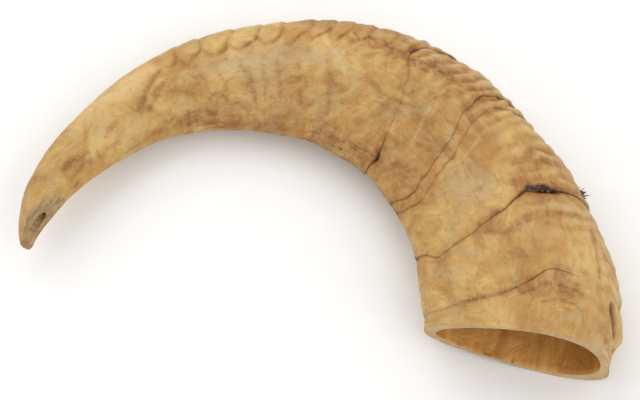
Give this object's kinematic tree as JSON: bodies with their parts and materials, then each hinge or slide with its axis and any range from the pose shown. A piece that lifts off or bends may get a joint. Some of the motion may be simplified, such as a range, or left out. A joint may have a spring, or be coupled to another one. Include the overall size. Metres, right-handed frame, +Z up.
{
  "type": "ram's horn trumpet",
  "caption": "Curved ram's horn blown as a natural trumpet: a drilled mouth at the narrow tip, an oval bell at the sawn base, and furrowed growth rings along its curl.",
  "frame": {"origin": "on the ground under the middle of the horn's box, the horn lying on its side", "axes": "+Z up; +X from the mouth end to the bell end; the arch of the curl towards +Y and the bell opening towards -Y"},
  "size_m": [0.2126, 0.1362, 0.0421],
  "materials": {
    "horn_keratin": "satin",
    "tip_keratin": "satin",
    "dried_skin": "matte"
  },
  "bodies": {
    "root": {"mouthpiece_tip": "tip_keratin", "growth_cone_1": "horn_keratin", "growth_cone_2": "horn_keratin", "growth_cone_3": "horn_keratin", "growth_cone_4": "horn_keratin", "growth_cone_5": "horn_keratin", "bell_cone": "horn_keratin", "dried_tuft": "dried_skin"}
  },
  "joints": []
}
